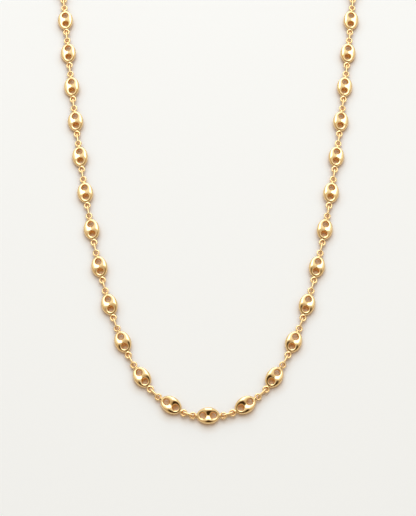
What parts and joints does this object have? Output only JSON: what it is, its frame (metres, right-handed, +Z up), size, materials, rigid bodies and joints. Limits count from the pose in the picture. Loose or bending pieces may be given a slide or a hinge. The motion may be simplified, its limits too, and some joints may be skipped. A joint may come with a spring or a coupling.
{
  "type": "puff link necklace",
  "caption": "Closed necklace chain of domed oval links pierced by round holes, joined by small upright oval links, with a plain hook clasp and an end ring at the back.",
  "frame": {"origin": "middle of the footprint of the closed necklace, on the surface that it lies on", "axes": "+Z up from the surface, +Y from the middle link at the front of the loop to the clasp at the back, +X across the loop"},
  "size_m": [0.0964, 0.183, 0.0021],
  "materials": {
    "puff_gold": "mirror polished yellow gold",
    "link_gold": "polished yellow gold wire",
    "clasp_gold": "polished yellow gold"
  },
  "bodies": {
    "root": {"puff_link_01": "puff_gold", "puff_link_02": "puff_gold", "puff_link_03": "puff_gold", "puff_link_04": "puff_gold", "puff_link_05": "puff_gold", "puff_link_06": "puff_gold", "puff_link_07": "puff_gold", "puff_link_08": "puff_gold", "puff_link_09": "puff_gold", "puff_link_10": "puff_gold", "puff_link_11": "puff_gold", "puff_link_12": "puff_gold", "puff_link_13": "puff_gold", "puff_link_14": "puff_gold", "puff_link_15": "puff_gold", "puff_link_16": "puff_gold", "puff_link_17": "puff_gold", "puff_link_18": "puff_gold", "puff_link_19": "puff_gold", "puff_link_20": "puff_gold", "puff_link_21": "puff_gold", "puff_link_22": "puff_gold", "puff_link_23": "puff_gold", "puff_link_24": "puff_gold", "puff_link_25": "puff_gold", "puff_link_26": "puff_gold", "puff_link_27": "puff_gold", "puff_link_28": "puff_gold", "puff_link_29": "puff_gold", "puff_link_30": "puff_gold", "puff_link_31": "puff_gold", "puff_link_32": "puff_gold", "puff_link_33": "puff_gold", "puff_link_34": "puff_gold", "puff_link_35": "puff_gold", "puff_link_36": "puff_gold", "puff_link_37": "puff_gold", "small_links": "link_gold", "clasp": "clasp_gold", "end_ring": "clasp_gold"}
  },
  "joints": []
}
